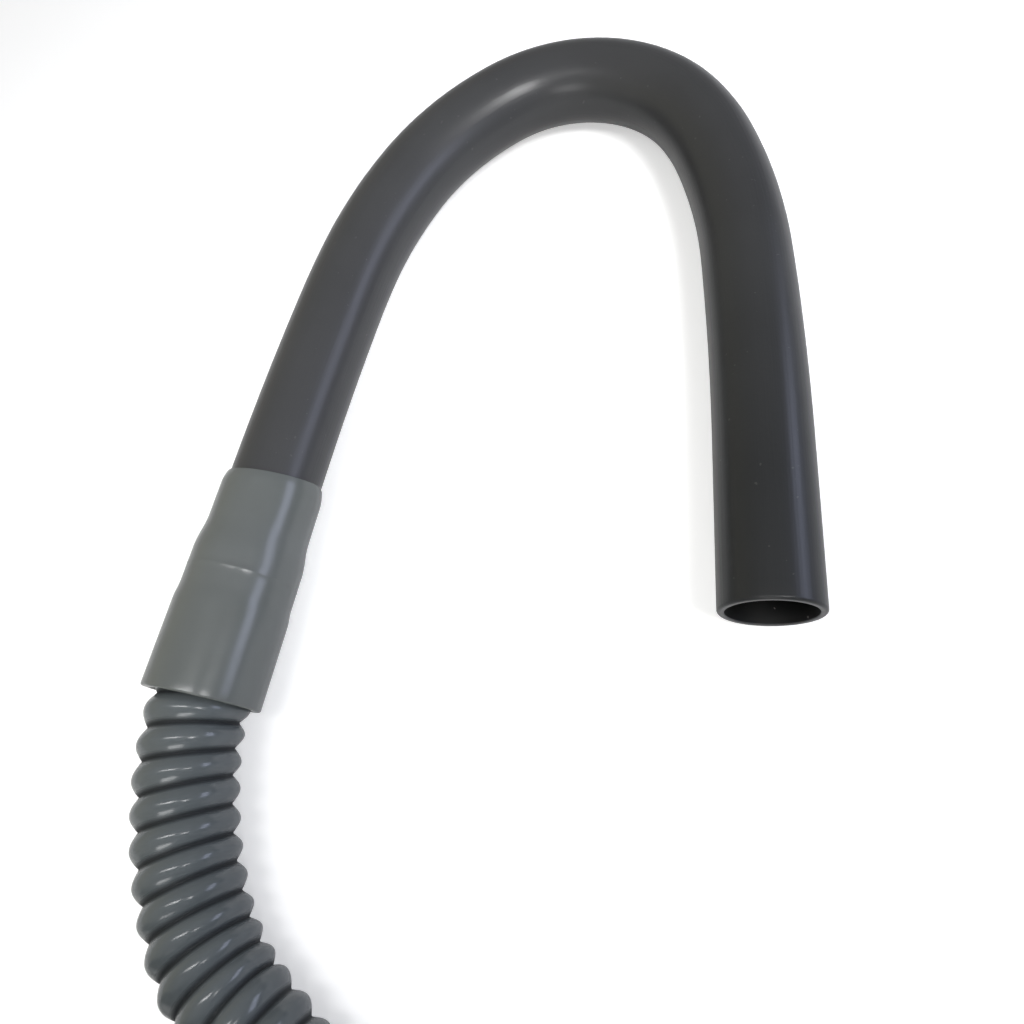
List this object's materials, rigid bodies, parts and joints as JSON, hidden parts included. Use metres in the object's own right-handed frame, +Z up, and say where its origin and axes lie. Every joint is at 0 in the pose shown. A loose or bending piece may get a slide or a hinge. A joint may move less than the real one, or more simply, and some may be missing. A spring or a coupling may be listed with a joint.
{
  "type": "washing machine drain hose",
  "caption": "Washing machine drain hose: a bent plastic crook, a stepped joint cuff and a corrugated hose that ends in a straight cuff for the machine.",
  "frame": {"origin": "on the surface that the hose lies on, under the middle of the crook and its joint cuff", "axes": "+Z up, +Y from the crook's mouth towards the top of its bend, so the mouth faces -Y"},
  "size_m": [0.2954, 0.6023, 0.0567],
  "materials": {
    "crook_plastic": "satin charcoal, faint scuffs",
    "cuff_plastic": "satin mid grey, a little green",
    "hose_plastic": "glossy blue grey"
  },
  "bodies": {
    "root": {"crook_pipe": "crook_plastic", "joint_cuff": "cuff_plastic", "hose_run": "hose_plastic", "hose_coil": "hose_plastic", "hose_tail": "hose_plastic", "machine_end_cuff": "cuff_plastic"}
  },
  "joints": []
}
